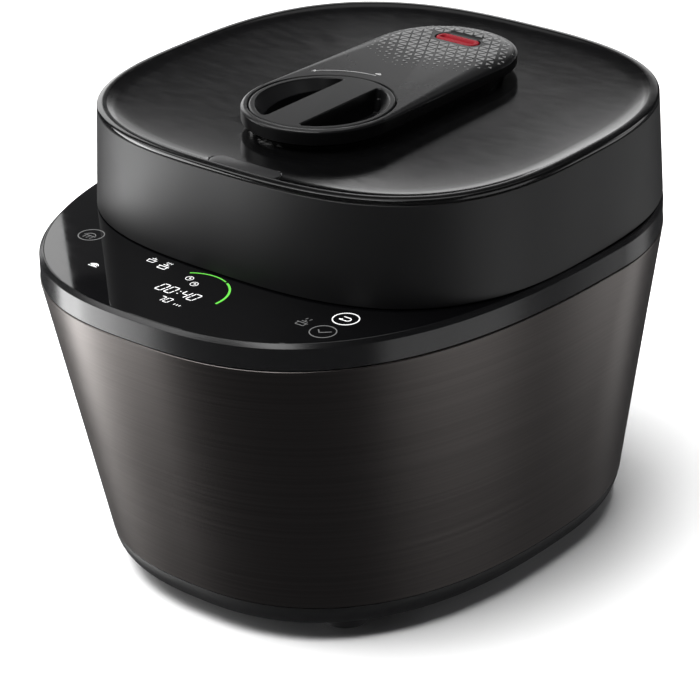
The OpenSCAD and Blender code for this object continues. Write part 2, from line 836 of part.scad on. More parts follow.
module pressure_indicator() {
    color([0.65, 0.05, 0.08]) translate([0, indicator_y, 0]) difference() {
        prism(bar_line(indicator_l, indicator_w), 271, pod_top + 0.3);
        prism(bar_line(indicator_l - 8, 2), pod_top - 0.3, pod_top + 1);
        translate([0, 0, 270]) cylinder(r = 2.5, h = 4);
    }
}

module float_pin() {
    color(steel) translate([0, indicator_y, 0]) {
        translate([0, 0, 211]) cylinder(r = 2.5, h = 63);
        translate([0, 0, 211]) cylinder(r = 6, h = 2.6);
    }
}

base_pan();
feet();
foot_pads();
base_screws();
steel_wrap();
deck_frame();
touch_panel();
display_module();
control_board();
touch_springs();
board_screws();
heating_well();
locking_flange();
inner_pot();
heating_plate();
heating_element();
plate_posts();
thermostat_plunger();
thermostat_spring();
power_board();
power_inlet();
wiring();
cup_holder();
condensate_cup();
hinge_bracket();
hinge_screws();
hinge_pin();
rear_housing();
hinge_springs();
lid_wall();
lid_rim();
lid_panel();
pod_plinth();
pod_shell();
lid_frame();
lid_screws();
hinge_arms();
inner_lid();
inner_lid_nut();
sealing_ring();
steam_valve();
locking_ring();
knob();
knob_shaft();
drive_pinion();
release_button();
button_spring();
button_guide();
latch_hook();
latch_pin();
pressure_indicator();
float_pin();
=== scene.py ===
"""The looks, light and camera of an electric pressure cooker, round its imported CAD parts.

The shapes are worked out in millimetres and become metres as their meshes are made.
The lights and the camera are placed in metres.
+Z is up, the front faces -Y, and the origin is on the floor under the middle of the body.
"""
import json
import math

import bpy
from mathutils import Matrix, Vector


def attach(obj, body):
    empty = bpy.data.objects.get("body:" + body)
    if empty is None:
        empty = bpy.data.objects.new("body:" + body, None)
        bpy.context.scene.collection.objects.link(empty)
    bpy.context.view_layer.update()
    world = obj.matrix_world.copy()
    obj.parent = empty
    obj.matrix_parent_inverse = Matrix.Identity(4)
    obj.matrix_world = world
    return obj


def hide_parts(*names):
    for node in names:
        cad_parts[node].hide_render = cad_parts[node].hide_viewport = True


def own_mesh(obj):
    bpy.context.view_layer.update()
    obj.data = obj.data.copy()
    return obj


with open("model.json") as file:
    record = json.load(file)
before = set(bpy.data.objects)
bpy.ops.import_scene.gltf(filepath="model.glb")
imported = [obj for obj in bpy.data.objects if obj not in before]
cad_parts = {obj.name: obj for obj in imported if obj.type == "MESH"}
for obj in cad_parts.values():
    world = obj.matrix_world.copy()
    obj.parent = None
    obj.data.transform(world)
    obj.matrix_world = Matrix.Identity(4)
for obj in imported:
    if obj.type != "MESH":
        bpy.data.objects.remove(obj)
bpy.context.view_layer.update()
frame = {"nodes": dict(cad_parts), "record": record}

MM = 0.001
RING_POINTS = 256

# Heights of the layers
PAN_BOTTOM = 7.0
WRAP_BOTTOM = 25.0
WRAP_TOP = 189.0
DECK_TOP = 204.6
LID_BOTTOM = 205.2
LID_TOP = 266.4
PANEL_TOP = 267.4
PANEL_FLOOR = 263.0
SHELL_BOTTOM = 268.6
POD_TOP = 277.4

# The deck
WELL_Y = 24.0
WELL_OPENING_R = 122.0
GLASS_REAR_Y = 19.9
GLASS_T = 2.0
MARK_T = 0.12

# The lid, its button, knob and pod; POD_DROP is how far the pod's rounded edge falls
RIM_W = 5.2
ARM_X = 37.0
BUTTON = (10.0, -110.0)
INDICATOR_Y = 94.5
KNOB_Y = -31.5
KNOB_R = 42.2
DIAL_HOLE_R = KNOB_R + 0.5
PLINTH_R = 41.0
POD_R = 46.2
POD_DROP = 4.2
POD_REAR_Y = KNOB_Y + 107.5


# ---------------------------------------------------------------- outlines


def signed_power(value, power):
    return math.copysign(abs(value) ** power, value)


class Plan:
    """A rounded-square plan shape: two half superellipses that meet at y = mid."""

    def __init__(self, width, depth, front, mid, n_front, n_back):
        self.half = width / 2
        self.front = front
        self.back = front + depth
        self.mid = mid
        self.n_front = n_front
        self.n_back = n_back

    def ring(self, grow, z):
        """The outline at a height, moved outwards by grow."""
        points = []
        for i in range(RING_POINTS):
            t = 2 * math.pi * i / RING_POINTS
            ahead = math.sin(t) < 0
            power = 2 / (self.n_front if ahead else self.n_back)
            reach = (self.mid - self.front if ahead else self.back - self.mid) + grow
            x = (self.half + grow) * signed_power(math.cos(t), power)
            y = self.mid + reach * signed_power(math.sin(t), power)
            points.append((x, y, z))
        return points


BODY = Plan(width=313, depth=379, front=-194.5, mid=44, n_front=2.67, n_back=2.0)
FOOT = Plan(width=267, depth=324, front=-162, mid=23, n_front=2.45, n_back=2.3)
LID = Plan(width=300, depth=289, front=-122.5, mid=16.5, n_front=2.87, n_back=2.71)


def between(ring_a, ring_b, k):
    """The ring a share k of the way from one ring to another."""
    return [tuple(a + k * (b - a) for a, b in zip(p, q)) for p, q in zip(ring_a, ring_b)]


def taper_ring(z, grow=0.0):
    """The body outline at a height on the straight taper of the steel wrap."""
    k = (z - WRAP_BOTTOM) / (WRAP_TOP - WRAP_BOTTOM)
    return between(FOOT.ring(grow, WRAP_BOTTOM), BODY.ring(grow, WRAP_TOP), k)


def circle(radius, z, centre=(0.0, 0.0), count=RING_POINTS):
    steps = [2 * math.pi * i / count for i in range(count)]
    return [(centre[0] + radius * math.cos(t), centre[1] + radius * math.sin(t), z) for t in steps]


def stadium(radius, y0, y1, z, count=RING_POINTS):
    """A stadium with its straight sides along Y, between the arc centres y0 and y1."""
    half = count // 2
    points = []
    for end, y in ((0, y1), (1, y0)):
        for i in range(half):
            t = math.pi * (end + i / (half - 1))
            points.append((radius * math.cos(t), y + radius * math.sin(t), z))
    return points


def bar(length, width, centre, z, count=96):
    """A stadium lying along X."""
    radius = width / 2
    reach = length / 2 - radius
    upright = stadium(radius, -reach, reach, z, count)
    return [(centre[0] + y, centre[1] - x, z) for x, y, z in upright]


def half_moon(radius, chord, corner, z, count=96):
    """A disc cut by the line x = chord, with round corners, for x above the chord."""
    inner = radius - corner
    line = chord + corner
    swing = math.acos(line / inner)
    y = inner * math.sin(swing)
    arc_steps = count // 2
    corner_steps = count // 4
    points = []
    for i in range(corner_steps):
        t = -math.pi + (math.pi - swing) * i / corner_steps
        points.append((line + corner * math.cos(t), -y + corner * math.sin(t), z))
    for i in range(arc_steps):
        t = -swing + 2 * swing * i / arc_steps
        points.append((radius * math.cos(t), radius * math.sin(t), z))
    for i in range(corner_steps):
        t = swing + (math.pi - swing) * i / (corner_steps - 1)
        points.append((line + corner * math.cos(t), y + corner * math.sin(t), z))
    return points


# ---------------------------------------------------------------- meshes


def mesh_object(name, points, faces, smooth_angle=35):
    mesh = bpy.data.meshes.new(name)
    mesh.from_pydata([[c * MM for c in p] for p in points], [], faces)
    mesh.validate()
    mesh.shade_smooth()
    mesh.set_sharp_from_angle(angle=math.radians(smooth_angle))
    piece = bpy.data.objects.new(name, mesh)
    bpy.context.scene.collection.objects.link(piece)
    return piece


def skin(name, rings, closed=False, smooth_angle=35):
    """A solid skin over a stack of rings. A closed one joins its last ring to its first."""
    count = len(rings[0])
    points = [p for ring in rings for p in ring]
    spans = len(rings) if closed else len(rings) - 1
    faces = []
    for k in range(spans):
        low = k * count
        high = ((k + 1) % len(rings)) * count
        for i in range(count):
            j = (i + 1) % count
            faces.append((low + i, low + j, high + j, high + i))
    if not closed:
        faces.append(tuple(range(count - 1, -1, -1)))
        faces.append(tuple((len(rings) - 1) * count + i for i in range(count)))
    return mesh_object(name, points, faces, smooth_angle)


def profile_skin(name, plan, profile, closed=False, smooth_angle=35):
    """A skin whose rings are one plan shape grown and raised along a (grow, z) profile."""
    return skin(name, [plan.ring(grow, z) for grow, z in profile], closed, smooth_angle)


def arc(centre, radii, start, end, steps):
    """Points (grow, z) on an elliptical arc, angles in degrees."""
    points = []
    for i in range(steps + 1):
        t = math.radians(start + (end - start) * i / steps)
        points.append((centre[0] + radii[0] * math.cos(t), centre[1] + radii[1] * math.sin(t)))
    return points


def coil(name, centre, radius, wire, low, high, turns):
    """A coil spring of round wire with its axis along Z."""
    turn_steps = 24
    wire_sides = 8
    steps = turn_steps * turns
    rings = []
    for i in range(steps + 1):
        t = 2 * math.pi * i / turn_steps
        height = low + wire + (high - low - 2 * wire) * i / steps
        ring = []
        for k in range(wire_sides):
            a = 2 * math.pi * k / wire_sides
            reach = radius + wire * math.sin(a)
            x = centre[0] + reach * math.cos(t)
            y = centre[1] + reach * math.sin(t)
            ring.append((x, y, height + wire * math.cos(a)))
        rings.append(ring)
    return skin(name, rings)


def block(name, low, high):
    """A box between two opposite corners."""
    corners = [(low[0], low[1]), (high[0], low[1]), (high[0], high[1]), (low[0], high[1])]
    return skin(name, [[(x, y, z) for x, y in corners] for z in (low[2], high[2])])


def knob_hole(radius, low, high):
    """A cutter for a round hole on the knob's axis."""
    return skin("knob_hole", [circle(radius, z, (0, KNOB_Y)) for z in (low, high)])


def bar_hole(length, width, centre, low, high):
    """A cutter for a stadium-shaped hole."""
    return skin("bar_hole", [bar(length, width, centre, z) for z in (low, high)])


def carve(piece, cutters):
    """Cuts the cutters out of the piece and removes them; large flat faces keep flat shading."""
    for cutter in cutters:
        modifier = piece.modifiers.new(cutter.name, "BOOLEAN")
        modifier.operation = "DIFFERENCE"
        modifier.solver = "EXACT"
        modifier.object = cutter
    weighted = piece.modifiers.new("weighted", "WEIGHTED_NORMAL")
    weighted.keep_sharp = True
    weighted.weight = 100
    bpy.context.view_layer.update()
    graph = bpy.context.evaluated_depsgraph_get()
    result = bpy.data.meshes.new_from_object(piece.evaluated_get(graph))
    piece.modifiers.clear()
    piece.data = result
    for cutter in cutters:
        bpy.data.objects.remove(cutter)


# ---------------------------------------------------------------- materials


class Nodes:
    """A short way to build a node tree."""

    def __init__(self, name):
        self.material = bpy.data.materials.new(name)
        self.material.use_nodes = True
        self.tree = self.material.node_tree
        self.shader = self.tree.nodes["Principled BSDF"]
        self.coords = self.tree.nodes.new("ShaderNodeTexCoord").outputs["Object"]

    def add(self, kind, **inputs):
        """A new node, with its sockets set or linked by name."""
        node = self.tree.nodes.new("ShaderNode" + kind)
        for key, value in inputs.items():
            self.set(node.inputs[key.replace("_", " ")], value)
        return node

    def set(self, socket, value):
        if isinstance(value, bpy.types.NodeSocket):
            self.tree.links.new(value, socket)
        else:
            socket.default_value = value

    def noise(self, scale, stretch=(1, 1, 1), detail=4.0):
        mapping = self.add("Mapping", Vector=self.coords, Scale=stretch)
        return self.add("TexNoise", Vector=mapping.outputs[0], Scale=scale, Detail=detail).outputs["Fac"]

    def span(self, value, low, high, lowest=0.3, highest=0.7):
        """Stretches a value from the range lowest to highest over the range low to high."""
        node = self.add("MapRange", Value=value)
        node.inputs["From Min"].default_value = lowest
        node.inputs["From Max"].default_value = highest
        node.inputs["To Min"].default_value = low
        node.inputs["To Max"].default_value = high
        return node.outputs[0]

    def mix(self, factor, color_a, color_b):
        node = self.tree.nodes.new("ShaderNodeMix")
        node.data_type = "RGBA"
        self.set(node.inputs[0], factor)
        node.inputs[6].default_value = (*color_a, 1)
        node.inputs[7].default_value = (*color_b, 1)
        return node.outputs[2]

    def bump(self, height, strength, distance):
        node = self.add("Bump", Height=height, Strength=strength, Distance=distance)
        self.set(self.shader.inputs["Normal"], node.outputs[0])

    def finish(self, color, roughness, **sockets):
        self.set(self.shader.inputs["Base Color"], color)
        self.set(self.shader.inputs["Roughness"], roughness)
        for key, value in sockets.items():
            self.shader.inputs[key.replace("_", " ")].default_value = value
        return self.material


def moulded(name, color, rough, grain=0.05, grain_scale=1800, specular=0.5):
    """Moulded plastic: faint spark-eroded grain, slightly uneven gloss and tone."""
    n = Nodes(name)
    cloud = n.noise(14)
    fine = n.noise(grain_scale, detail=2.0)
    n.bump(fine, grain, 0.00005)
    tone = n.mix(n.span(cloud, 0, 1), color, [c * 1.25 for c in color])
    return n.finish(tone, n.span(cloud, rough - 0.03, rough + 0.03), Specular_IOR_Level=specular)


def polished(name, color, rough, waviness=0.02):
    """Polished plastic or glass: a deep gloss with the slight waviness of a moulding."""
    n = Nodes(name)
    wave = n.noise(9, detail=1.0)
    smear = n.noise(60, stretch=(1, 3, 1))
    n.bump(wave, waviness, 0.0004)
    tone = n.mix(n.span(smear, 0, 1), color, [c * 1.3 for c in color])
    return n.finish(tone, n.span(smear, rough * 0.8, rough * 1.3))


def brushed(name, color, rough):
    """Sheet metal brushed round the body: level streaks in tone, gloss and height."""
    n = Nodes(name)
    streak = n.noise(2.2, stretch=(2, 2, 420), detail=3.0)
    n.bump(streak, 0.08, 0.00004)
    darker = [c * 0.94 for c in color]
    lighter = [c * 1.06 for c in color]
    tone = n.mix(n.span(streak, 0, 1, 0.35, 0.65), darker, lighter)
    tangent = n.add("Tangent")
    tangent.direction_type = "RADIAL"
    tangent.axis = "Z"
    n.set(n.shader.inputs["Tangent"], tangent.outputs[0])
    gloss = n.span(streak, rough - 0.02, rough + 0.02)
    return n.finish(tone, gloss, Metallic=1.0, Anisotropic=0.1, Anisotropic_Rotation=0.25)


def turned(name, color, rough, scale=300):
    """Pressed or turned metal with fine scratches and cloudy wear."""
    n = Nodes(name)
    cloud = n.noise(25)
    scratch = n.noise(scale, stretch=(1, 1, 8))
    n.bump(scratch, 0.15, 0.00003)
    tone = n.mix(n.span(cloud, 0, 1), [c * 0.85 for c in color], [c * 1.1 for c in color])
    return n.finish(tone, n.span(cloud, rough - 0.05, rough + 0.07), Metallic=1.0)


def lit(name, color, strength, base=(0.8, 0.8, 0.8)):
    """A printed mark or a lit segment, with the slight unevenness of light through its mask."""
    n = Nodes(name)
    grain = n.noise(700)
    tone = n.mix(n.span(grain, 0, 1), color, [c * 0.88 for c in color])
    n.set(n.shader.inputs["Emission Color"], tone)
    return n.finish((*base, 1), n.span(grain, 0.35, 0.5), Emission_Strength=strength)


SATIN = moulded("satin_black", (0.006, 0.006, 0.0065), 0.5)
SATIN_POD = moulded("satin_pod", (0.007, 0.007, 0.0075), 0.28, specular=0.42)
SATIN_KNOB = moulded("satin_knob", (0.006, 0.006, 0.0065), 0.32, specular=0.36)
SATIN_BUTTON = moulded("satin_button", (0.022, 0.022, 0.023), 0.38)
SATIN_DECK = moulded("satin_deck", (0.006, 0.006, 0.0065), 0.24)
MATT = moulded("matt_black", (0.012, 0.012, 0.0125), 0.55, grain=0.2, grain_scale=900)
GLOSS_RIM = polished("gloss_rim", (0.003, 0.003, 0.003), 0.12, waviness=0.003)
GLOSS_LID = polished("gloss_lid", (0.004, 0.004, 0.0042), 0.12, waviness=0.006)
GLOSS_DECK = polished("gloss_deck", (0.003, 0.003, 0.0035), 0.03, waviness=0.004)
GUNMETAL = brushed("brushed_gunmetal", (0.20, 0.184, 0.176), 0.31)
STEEL = turned("pressed_steel", (0.55, 0.55, 0.56), 0.34, scale=220)
ALUMINIUM = turned("cast_aluminium", (0.68, 0.68, 0.70), 0.42)
COATING = moulded("pot_coating", (0.045, 0.045, 0.047), 0.42, grain=0.3, grain_scale=600)
RUBBER = moulded("rubber_pad", (0.018, 0.018, 0.018), 0.7, grain=0.4, grain_scale=700)
SILICONE = moulded("silicone_seal", (0.62, 0.62, 0.58), 0.45)
BOARD = moulded("circuit_board", (0.015, 0.12, 0.05), 0.35, grain=0.3, grain_scale=400)
FILTER = polished("display_filter", (0.02, 0.03, 0.03), 0.08)
RED = moulded("red_plastic", (0.42, 0.010, 0.024), 0.5, grain=0.02, specular=0.25)
SMOKED = polished("smoked_plastic", (0.035, 0.035, 0.038), 0.15)
WIRE = moulded("wire_sheath", (0.25, 0.03, 0.03), 0.5)
ACETAL = moulded("gear_acetal", (0.62, 0.60, 0.52), 0.4)
WHITE_LIGHT = lit("white_light", (1.0, 1.0, 1.0), 1.1)
DIM_LIGHT = lit("dim_light", (0.30, 0.30, 0.30), 0.3, (0.2, 0.2, 0.2))
GREEN_LIGHT = lit("green_light", (0.15, 0.70, 0.05), 1.0, (0.1, 0.5, 0.1))
PRINT = moulded("grey_print", (0.30, 0.30, 0.30), 0.4)
PRINT_WHITE = moulded("white_print", (0.75, 0.75, 0.75), 0.4)

SLOT_FINISH = {
    "black_plastic": MATT,
    "gloss_black": GLOSS_DECK,
    "gunmetal_steel": GUNMETAL,
    "steel": STEEL,
    "aluminium": ALUMINIUM,
    "pot_coating": COATING,
    "rubber": RUBBER,
    "silicone": SILICONE,
    "circuit_board": BOARD,
    "display": FILTER,
    "red_plastic": RED,
    "smoked_plastic": SMOKED,
    "wire": WIRE,
    "gear_plastic": ACETAL,
}


def paint(piece, material):
    piece.data.materials.clear()
    piece.data.materials.append(material)


def place(piece, material, body, slot, *nodes):
    """Gives a piece its material, its body and the CAD nodes that it stands for."""
    paint(piece, material)
    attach(piece, body)
    if nodes:
        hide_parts(*nodes)


def paint_carried_nodes():
    """Gives every CAD node the material of its slot."""
    for part in frame["record"]["subparts"]:
        paint(frame["nodes"][part["node"]], SLOT_FINISH[part["material_slot"]])


# ---------------------------------------------------------------- base


def make_tub():
    """The plastic pan, whose rounded edge is the black strip under the steel."""
    top = WRAP_BOTTOM - 0.3
    outside = arc((-20, top), (19.5, top - PAN_BOTTOM), -90, 0, 14)
    inside = [(-5, top), (-9, PAN_BOTTOM + 7), (-22, PAN_BOTTOM + 3)]
    tub = profile_skin("base_tub", FOOT, outside + inside)
    place(tub, SATIN, "base", "black_plastic", "base_pan")


def make_wrap():
    """The brushed steel sheet: a tapering wall with a rounded upper edge, open at the rear housing."""
    lip = 0.9
    steps = 12
    straight = WRAP_TOP - WRAP_BOTTOM - 1
    rings = [FOOT.ring(-lip, WRAP_BOTTOM), FOOT.ring(-0.35, WRAP_BOTTOM + 0.1)]
    rings += [taper_ring(WRAP_BOTTOM + 0.5 + straight * k / steps) for k in range(steps + 1)]
    for grow, z in arc((-lip, WRAP_TOP - lip), (lip, lip), 15, 90, 5):
        rings.append(taper_ring(z, grow))
    rings += [taper_ring(WRAP_TOP, -1), taper_ring(WRAP_BOTTOM, -1)]
    wrap = skin("steel_wrap_sheet", rings, closed=True)
    carve(wrap, [block("gap", (-48, 100, 0), (48, 220, 300))])
    place(wrap, GUNMETAL, "base", "gunmetal_steel", "steel_wrap")


def arm_slots(half_width, front_y, rear_y, low, high):
    """Cutters for the two slots that let the lid's hinge arms pass."""
    cutters = []
    for x in (-ARM_X, ARM_X):
        cutters.append(block("slot", (x - half_width, front_y, low), (x + half_width, rear_y, high)))
    return cutters


def all_behind(y):
    """A cutter that takes away everything behind y."""
    return block("rear", (-200, y, 150), (200, 320, 320))


def glass_recess():
    """The cutter for the glass's recess: ahead of the glass's rear edge and outside the lid."""
    floor = DECK_TOP - GLASS_T - 0.02
    recess = profile_skin("recess", BODY, [(-3, floor), (-3, DECK_TOP + 3)])
    lid = profile_skin("under_lid", LID, [(0.5, floor - 1), (0.5, DECK_TOP + 4)])
    carve(recess, [lid, all_behind(GLASS_REAR_Y + 0.1)])
    return recess


def make_collar():
    """The satin frame on top of the steel, open over the well and recessed for the glass."""
    under = DECK_TOP - 3
    inset = -0.45
    chamfer = 2.2
    outside = (
        (inset - 0.8, WRAP_TOP + 0.1),
        (inset, WRAP_TOP + 0.7),
        (inset, DECK_TOP - chamfer - 0.25),
        (inset - 0.12, DECK_TOP - chamfer),
        (inset - chamfer + 0.12, DECK_TOP - 0.12),
        (inset - chamfer - 0.15, DECK_TOP),
    )
    rings = [BODY.ring(grow, z) for grow, z in outside]
    well = (0, WELL_Y)
    rings.append(circle(WELL_OPENING_R, DECK_TOP, well))
    rings.append(circle(WELL_OPENING_R, under, well))
    rings.append(BODY.ring(-4, under))
    rings.append(BODY.ring(-4, WRAP_TOP + 0.1))
    collar = skin("deck_collar", rings, closed=True, smooth_angle=20)
    latch_slot = block("latch", (-1, -121.5, 195), (21, -111, 210))
    carve(collar, [glass_recess(), latch_slot] + arm_slots(7.6, 172.5, 191.5, 200, 245))
    place(collar, SATIN_DECK, "base", "black_plastic", "deck_frame")


def make_glass():
    """The gloss touch panel on the front of the deck."""
    bottom = DECK_TOP - GLASS_T
    profile = [(-3.1, bottom), (-3.1, DECK_TOP - 0.25), (-3.3, DECK_TOP)]
    glass = profile_skin("touch_glass", BODY, profile, smooth_angle=20)
    lid = profile_skin("under_lid", LID, [(0.6, bottom - 1), (0.6, DECK_TOP + 1)])
    carve(glass, [lid, all_behind(GLASS_REAR_Y)])
    place(glass, GLOSS_DECK, "base", "gloss_black", "touch_panel")


def make_springs():
    """The two coil springs, which shorten in the real cooker: each is carried whole by its plunger's body and
    has a mesh of its own.
    """
    plunger = coil("plunger_coil", (0, WELL_Y), 7, 0.9, 55, 69, 5)
    place(plunger, STEEL, "thermostat", "steel", "thermostat_spring")
    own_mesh(plunger)
    button = coil("button_coil", BUTTON, 4.7, 0.5, 252, 259, 4)
    place(button, STEEL, "button", "steel", "button_spring")
    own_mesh(button)


# ---------------------------------------------------------------- marks


def deck_height(x, y):
    """The deck is level, so its height is the same at every place."""
    return DECK_TOP


class Marks:
    """Thin marks that lie on a surface, gathered into one mesh."""

    def __init__(self, surface=deck_height):
        self.points = []
        self.faces = []
        self.surface = surface

    def point(self, x, y, lift):
        return (x, y, self.surface(x, y) + 0.02 + lift)

    def polygon(self, outline):
        """A thin prism over a convex outline that runs anticlockwise."""
        start = len(self.points)
        count = len(outline)
        self.points += [self.point(x, y, 0) for x, y in outline]
        self.points += [self.point(x, y, MARK_T) for x, y in outline]
        self.faces.append(tuple(start + i for i in reversed(range(count))))
        self.faces.append(tuple(start + count + i for i in range(count)))
        for i in range(count):
            j = (i + 1) % count
            self.faces.append((start + i, start + j, start + count + j, start + count + i))

    def stroke(self, a, b, width):
        """A straight line with square ends."""
        along = Vector((b[0] - a[0], b[1] - a[1])).normalized() * (width / 2)
        side = Vector((along.y, -along.x))
        a, b = Vector(a) - along, Vector(b) + along
        corners = [a + side, b + side, b - side, a - side]
        self.polygon([tuple(c) for c in corners])

    def arc(self, centre, radius, start, end, width, steps=48):
        """A curved line, angles in degrees, as one closed strip."""
        whole = abs(end - start) >= 360
        count = steps if whole else steps + 1
        first = len(self.points)
        inner = radius - width / 2
        outer = radius + width / 2
        section = ((inner, 0), (outer, 0), (outer, MARK_T), (inner, MARK_T))
        for i in range(count):
            t = math.radians(start + (end - start) * i / steps)
            for r, lift in section:
                self.points.append(self.point(centre[0] + r * math.cos(t), centre[1] + r * math.sin(t), lift))
        for i in range(steps):
            a = first + 4 * i
            b = first + 4 * ((i + 1) % count)
            for k in range(4):
                m = (k + 1) % 4
                self.faces.append((a + k, a + m, b + m, b + k))
        if not whole:
            last = first + 4 * steps
            self.faces.append((first + 3, first + 2, first + 1, first))
            self.faces.append((last, last + 1, last + 2, last + 3))

    def make(self, name, material, body, slot):
        piece = mesh_object(name, self.points, self.faces)
        place(piece, material, body, slot)


# The lit segments of the digits in use, and the ends of each segment on a digit one unit wide and high
SEGMENTS = {"0": "abcdef", "4": "fgbc", "7": "abc"}
SEGMENT_ENDS = {
    "a": ((0, 1), (1, 1)),
    "b": ((1, 1), (1, 0.5)),
    "c": ((1, 0.5), (1, 0)),
    "d": ((0, 0), (1, 0)),
    "e": ((0, 0.5), (0, 0)),
    "f": ((0, 1), (0, 0.5)),
    "g": ((0, 0.5), (1, 0.5)),
}


def draw_digit(marks, digit, corner, width, height, line):
    """A seven-segment digit, leaning a little, with its lower left corner at corner."""
    lean = 0.14
    gap = line * 1.2

    def at(u, v):
        return (corner[0] + u * width + lean * v * height, corner[1] + v * height)

    for segment in SEGMENTS[digit]:
        a, b = (Vector(at(*end)) for end in SEGMENT_ENDS[segment])
        step = (b - a).normalized() * gap
        marks.stroke(tuple(a + step), tuple(b - step), line)


def draw_number(marks, digits, corner, pitch, width, height, line):
    for k, digit in enumerate(digits):
        draw_digit(marks, digit, (corner[0] + pitch * k, corner[1]), width, height, line)


def draw_pot(marks, centre, size, line):
    """A small pot with a lid knob and two handles."""
    x, y = centre
    marks.stroke((x - size, y), (x + size, y), line)
    marks.stroke((x - 0.7 * size, y - 0.9 * size), (x + 0.7 * size, y - 0.9 * size), line)
    for side in (-0.8 * size, 0.8 * size):
        marks.stroke((x + side, y - 0.1 * size), (x + side, y - 0.8 * size), line)
    marks.stroke((x - 0.5 * size, y + 0.55 * size), (x + 0.5 * size, y + 0.55 * size), line)
    marks.stroke((x, y + 0.7 * size), (x, y + 0.95 * size), line)


def draw_slants(marks, places, lean, low, high, line):
    """Short strokes that lean to the right, one at each place along X."""
    for x in places:
        marks.stroke((x, low), (x + lean, high), line)


def draw_clock(marks, centre, line):
    """A small clock face with two hands."""
    x, y = centre
    marks.arc(centre, 2.3, 0, 360, line, 24)
    marks.stroke(centre, (x, y + 1.3), line)
    marks.stroke(centre, (x + 1.0, y), line)


def draw_tick_key(marks, centre, line):
    """A ring round a tick."""
    x, y = centre
    marks.arc(centre, 7.3, 0, 360, line, 64)
    marks.stroke((x - 3.4, y + 0.4), (x - 1.0, y - 2.0), line)
    marks.stroke((x - 1.0, y - 2.0), (x + 3.8, y + 2.2), line)


def draw_warm_key(marks, centre, line):
    """A ring round a covered dish with three short flames under it."""
    x, y = centre
    marks.arc(centre, 7.5, 0, 360, line + 0.05, 64)
    marks.arc((x, y - 1.6), 3.6, 20, 160, line, 16)
    marks.stroke((x - 4.0, y - 1.2), (x + 4.0, y - 1.2), line)
    draw_slants(marks, (x - 2.6, x, x + 2.6), 0.6, y - 4.2, y - 2.6, line)


def make_digits():
    """The lit time and the number under it, two pots, and two small clocks."""
    bright = Marks()
    time_y = -159.9
    time_style = {"pitch": 6.6, "width": 4.3, "height": 8.0, "line": 0.55}
    draw_number(bright, "00", (-15.2, time_y), **time_style)
    draw_number(bright, "40", (1.2, time_y), **time_style)
    for y in (time_y + 2.5, time_y + 5.5):
        bright.stroke((-0.6, y), (-0.4, y), 0.6)
    draw_number(bright, "70", (-5.4, -169.8), pitch=5.0, width=3.2, height=5.4, line=0.42)
    draw_slants(bright, (7.6, 9.5, 11.4), 0.2, -169.2, -168.2, 0.45)
    draw_pot(bright, (-41.6, -132.4), 3.0, 0.34)
    x, y = -30.6, -135.2
    draw_pot(bright, (x, y), 3.4, 0.5)
    draw_slants(bright, (x - 1.6, x, x + 1.6), 0.4, y + 4.2, y + 5.4, 0.36)
    draw_clock(bright, (-8.3, -138.6), 0.32)
    draw_clock(bright, (-1.2, -142.8), 0.32)
    bright.make("display_digits", WHITE_LIGHT, "base", "display")


def make_progress_arc():
    """The green arc round the digits: a thin part, a gap and a thicker part."""
    centre = (1.2, -152.8)
    radius = 24.4
    progress = Marks()
    progress.arc(centre, radius, 66, 126, 0.75)
    progress.arc(centre, radius, -5, 61, 1.25)
    progress.make("progress_arc", GREEN_LIGHT, "base", "display")


def make_back_key():
    """A lit ring round an arrow that turns back."""
    x, y = 94.4, -128.0
    bend = 1.9
    line = 0.55
    back = Marks()
    back.arc((x, y), 7.3, 0, 360, 0.6, 64)
    back.arc((x + 1.2, y), bend, -90, 90, line, 20)
    back.stroke((x - 2.4, y + bend), (x + 1.2, y + bend), line)
    back.stroke((x - 2.8, y - bend), (x + 1.2, y - bend), line)
    back.stroke((x - 2.8, y - bend), (x - 1.7, y - 0.9), 0.5)
    back.make("back_key", WHITE_LIGHT, "base", "display")


def make_dim_keys():
    """The keys that are lit faintly: a tick, a covered dish, and a steaming pot."""
    dim = Marks()
    draw_tick_key(dim, (94.6, -147.4), 0.65)
    draw_warm_key(dim, (-94.0, -127.4), 0.5)
    x, y = 78.6, -145.2
    draw_pot(dim, (x, y), 3.4, 0.5)
    draw_slants(dim, (x - 1.4, x + 1.4), 0.4, y + 4.4, y + 5.8, 0.4)
    dim.make("dim_keys", DIM_LIGHT, "base", "display")


def make_small_icon():
    """Three nested arcs on a base line."""
    x, y = -63.5, -158.2
    line = 0.5
    small = Marks()
    for radius in (3.2, 2.1, 1.0):
        small.arc((x, y), radius, 25, 155, line, 20)
    small.stroke((x - 2.9, y - 0.2), (x + 2.9, y - 0.2), line)
    small.make("small_icon", WHITE_LIGHT, "base", "display")


# ---------------------------------------------------------------- lid


def make_skirt():
    """The tall satin wall of the lid."""
    top = LID_TOP - 2.5
    draft = 3.0
    outside = [(draft - 0.6, LID_BOTTOM), (draft - 0.15, LID_BOTTOM + 0.15), (draft, LID_BOTTOM + 0.6)]
    steps = 8
    for k in range(1, steps + 1):
        grow = draft + (0.12 - draft) * k / steps
        z = LID_BOTTOM + 0.6 + (top - LID_BOTTOM - 0.9) * k / steps
        outside.append((grow, z))
    outside.append((-0.2, top))
    inside = [(-2.5, top), (0.4, LID_BOTTOM)]
    skirt = profile_skin("lid_skirt", LID, outside + inside, closed=True)
    carve(skirt, arm_slots(5.2, 148, 195, 200, 238))
    place(skirt, SATIN, "lid", "black_plastic", "lid_wall")


